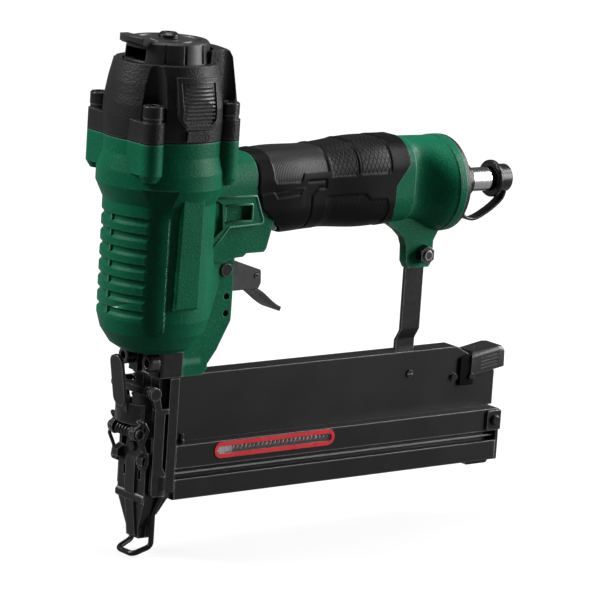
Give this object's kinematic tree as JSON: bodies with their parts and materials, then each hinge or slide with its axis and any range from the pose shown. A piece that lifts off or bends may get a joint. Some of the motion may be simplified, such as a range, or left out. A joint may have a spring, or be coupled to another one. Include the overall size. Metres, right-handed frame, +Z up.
{
  "type": "pneumatic stapler",
  "caption": "Hand-held pneumatic stapler and brad driver: cast body with soft grip, trigger, long bottom-loading magazine, quick-release nose and safety contact, air plug at the rear.",
  "frame": {"origin": "Centre of the nose tip's bottom face, on the driver axis.", "axes": "+Z runs up the driver axis to the cap, +X runs back along the magazine to its rear end, +Y completes the right-handed frame and points to the tool's side with the safety link."},
  "size_m": [0.2496, 0.062, 0.2546],
  "materials": {
    "casting_green": "dark green textured paint on a die casting",
    "cap_black": "black textured paint on a die casting",
    "rubber_black": "black moulded rubber",
    "steel_black": "black oxide, oiled",
    "spring_steel": "drawn spring wire",
    "plastic_black": "black moulded plastic",
    "valve_plastic": "natural engineering plastic",
    "alloy_plain": "turned",
    "steel_bright": "ground",
    "trigger_grey": "grey-black coated sheet",
    "grip_rubber": "black soft grip, patterned",
    "plug_chrome": "plated",
    "magazine_black": "black anodised extrusion",
    "label_red": "red film",
    "window_clear": "clear"
  },
  "bodies": {
    "housing": {"main_housing": "casting_green", "cap_gasket": "rubber_black", "cylinder_cap": "cap_black", "cap_screws": "steel_black", "deflector_screw": "steel_black", "cylinder_sleeve": "alloy_plain", "seal_rings": "rubber_black", "bumper": "rubber_black", "head_valve_spring": "spring_steel", "trigger_valve_body": "valve_plastic", "valve_spring": "spring_steel", "housing_pins": "steel_black", "grip_sleeve": "grip_rubber", "rear_cover": "cap_black", "air_plug": "plug_chrome", "tether_ring": "rubber_black", "hanger_bracket": "steel_black", "bracket_bolt": "steel_black", "bracket_nut": "steel_black", "nose_base": "steel_black", "nose_screws": "steel_black", "driver_guide": "steel_black", "front_cover": "steel_black", "nose_pins": "steel_black", "latch_bracket": "steel_black", "latch_spring": "spring_steel", "arm_spring": "spring_steel", "magazine_rail": "magazine_black", "rail_pins": "steel_black", "thumb_spring": "spring_steel"},
    "deflector": {"exhaust_deflector": "plastic_black"},
    "driver": {"piston": "alloy_plain", "piston_ring": "valve_plastic", "driver_blade": "steel_bright"},
    "head_valve": {"head_valve": "valve_plastic", "head_valve_seal": "rubber_black"},
    "trigger": {"trigger": "trigger_grey", "rocker_pin": "steel_black"},
    "rocker": {"rocker": "steel_black"},
    "valve_stem": {"valve_stem": "steel_bright"},
    "contact": {"contact_wire": "steel_black", "contact_arms": "steel_black", "cross_pin": "steel_black", "safety_link": "steel_black"},
    "magazine_slide": {"slide_cover": "magazine_black", "level_frame": "label_red", "level_window": "window_clear", "slide_core": "magazine_black", "end_plate": "steel_black", "slide_screws": "steel_black", "slide_foot": "rubber_black", "pusher_spring": "spring_steel"},
    "pusher": {"pusher": "steel_bright"},
    "magazine_latch": {"magazine_latch": "plastic_black", "latch_pawl": "steel_black"},
    "nose_latch": {"latch_lever": "steel_black"},
    "latch_links": {"latch_links": "steel_black"},
    "dust_cap": {"dust_cap": "rubber_black", "cap_strap": "rubber_black"}
  },
  "joints": [
    {"name": "deflector_turn", "type": "hinge", "parent": "housing", "child": "deflector", "pos_m": [0, 0, 0.2365], "axis": [0, 0, 1], "continuous": true},
    {"name": "driver_stroke", "type": "slide", "parent": "housing", "child": "driver", "axis": [0, 0, -1], "range_m": [0, 0.072]},
    {"name": "head_valve_lift", "type": "slide", "parent": "housing", "child": "head_valve", "axis": [0, 0, 1], "range_m": [0, 0.0041], "deforming": ["head_valve_spring"]},
    {"name": "trigger_pull", "type": "hinge", "parent": "housing", "child": "trigger", "pos_m": [0.032, 0, 0.132], "axis": [0, -1, 0], "range_deg": [0, 10], "stiffness_Nm_per_rad": 0.15, "springref_deg": -5.73},
    {"name": "rocker_tilt", "type": "hinge", "parent": "trigger", "child": "rocker", "pos_m": [0.0549, 0, 0.1265], "axis": [0, 1, 0], "range_deg": [0, 9.1]},
    {"name": "stem_lift", "type": "slide", "parent": "housing", "child": "valve_stem", "axis": [0, 0, 1], "range_m": [0, 0.0023], "deforming": ["valve_spring"]},
    {"name": "contact_lift", "type": "slide", "parent": "housing", "child": "contact", "axis": [0, 0, 1], "range_m": [0, 0.007], "stiffness_N_per_m": 300, "springref_m": -0.006, "deforming": ["arm_spring"]},
    {"name": "magazine_open", "type": "slide", "parent": "housing", "child": "magazine_slide", "axis": [1, 0, 0], "range_m": [0, 0.15]},
    {"name": "pusher_travel", "type": "slide", "parent": "magazine_slide", "child": "pusher", "axis": [1, 0, 0], "range_m": [0, 0.14], "stiffness_N_per_m": 20, "springref_m": -0.15, "deforming": ["pusher_spring"]},
    {"name": "magazine_latch_press", "type": "hinge", "parent": "housing", "child": "magazine_latch", "pos_m": [0.1975, 0, 0.0638], "axis": [0, 1, 0], "range_deg": [0, 8], "stiffness_Nm_per_rad": 0.2, "springref_deg": -5.73, "deforming": ["thumb_spring"]},
    {"name": "nose_latch_open", "type": "hinge", "parent": "housing", "child": "nose_latch", "pos_m": [-0.012, 0, 0.054], "axis": [0, -1, 0], "range_deg": [0, 100]},
    {"name": "link_swing", "type": "hinge", "parent": "nose_latch", "child": "latch_links", "pos_m": [-0.011, 0, 0.06], "axis": [0, -1, 0], "range_deg": [-100.5, 0]},
    {"name": "dust_cap_swing", "type": "hinge", "parent": "housing", "child": "dust_cap", "pos_m": [0.203, 0, 0.145], "axis": [0, 1, 0], "range_deg": [0, 110], "deforming": ["cap_strap"]}
  ],
  "couplings": [
    {"joint": "head_valve_lift", "follows": "trigger_pull", "m_per_rad": 0.022918},
    {"joint": "stem_lift", "follows": "trigger_pull", "m_per_rad": 0.0125},
    {"joint": "rocker_tilt", "follows": "contact_lift", "rad_per_m": 22.44},
    {"joint": "link_swing", "follows": "nose_latch_open", "ratio": -1}
  ]
}
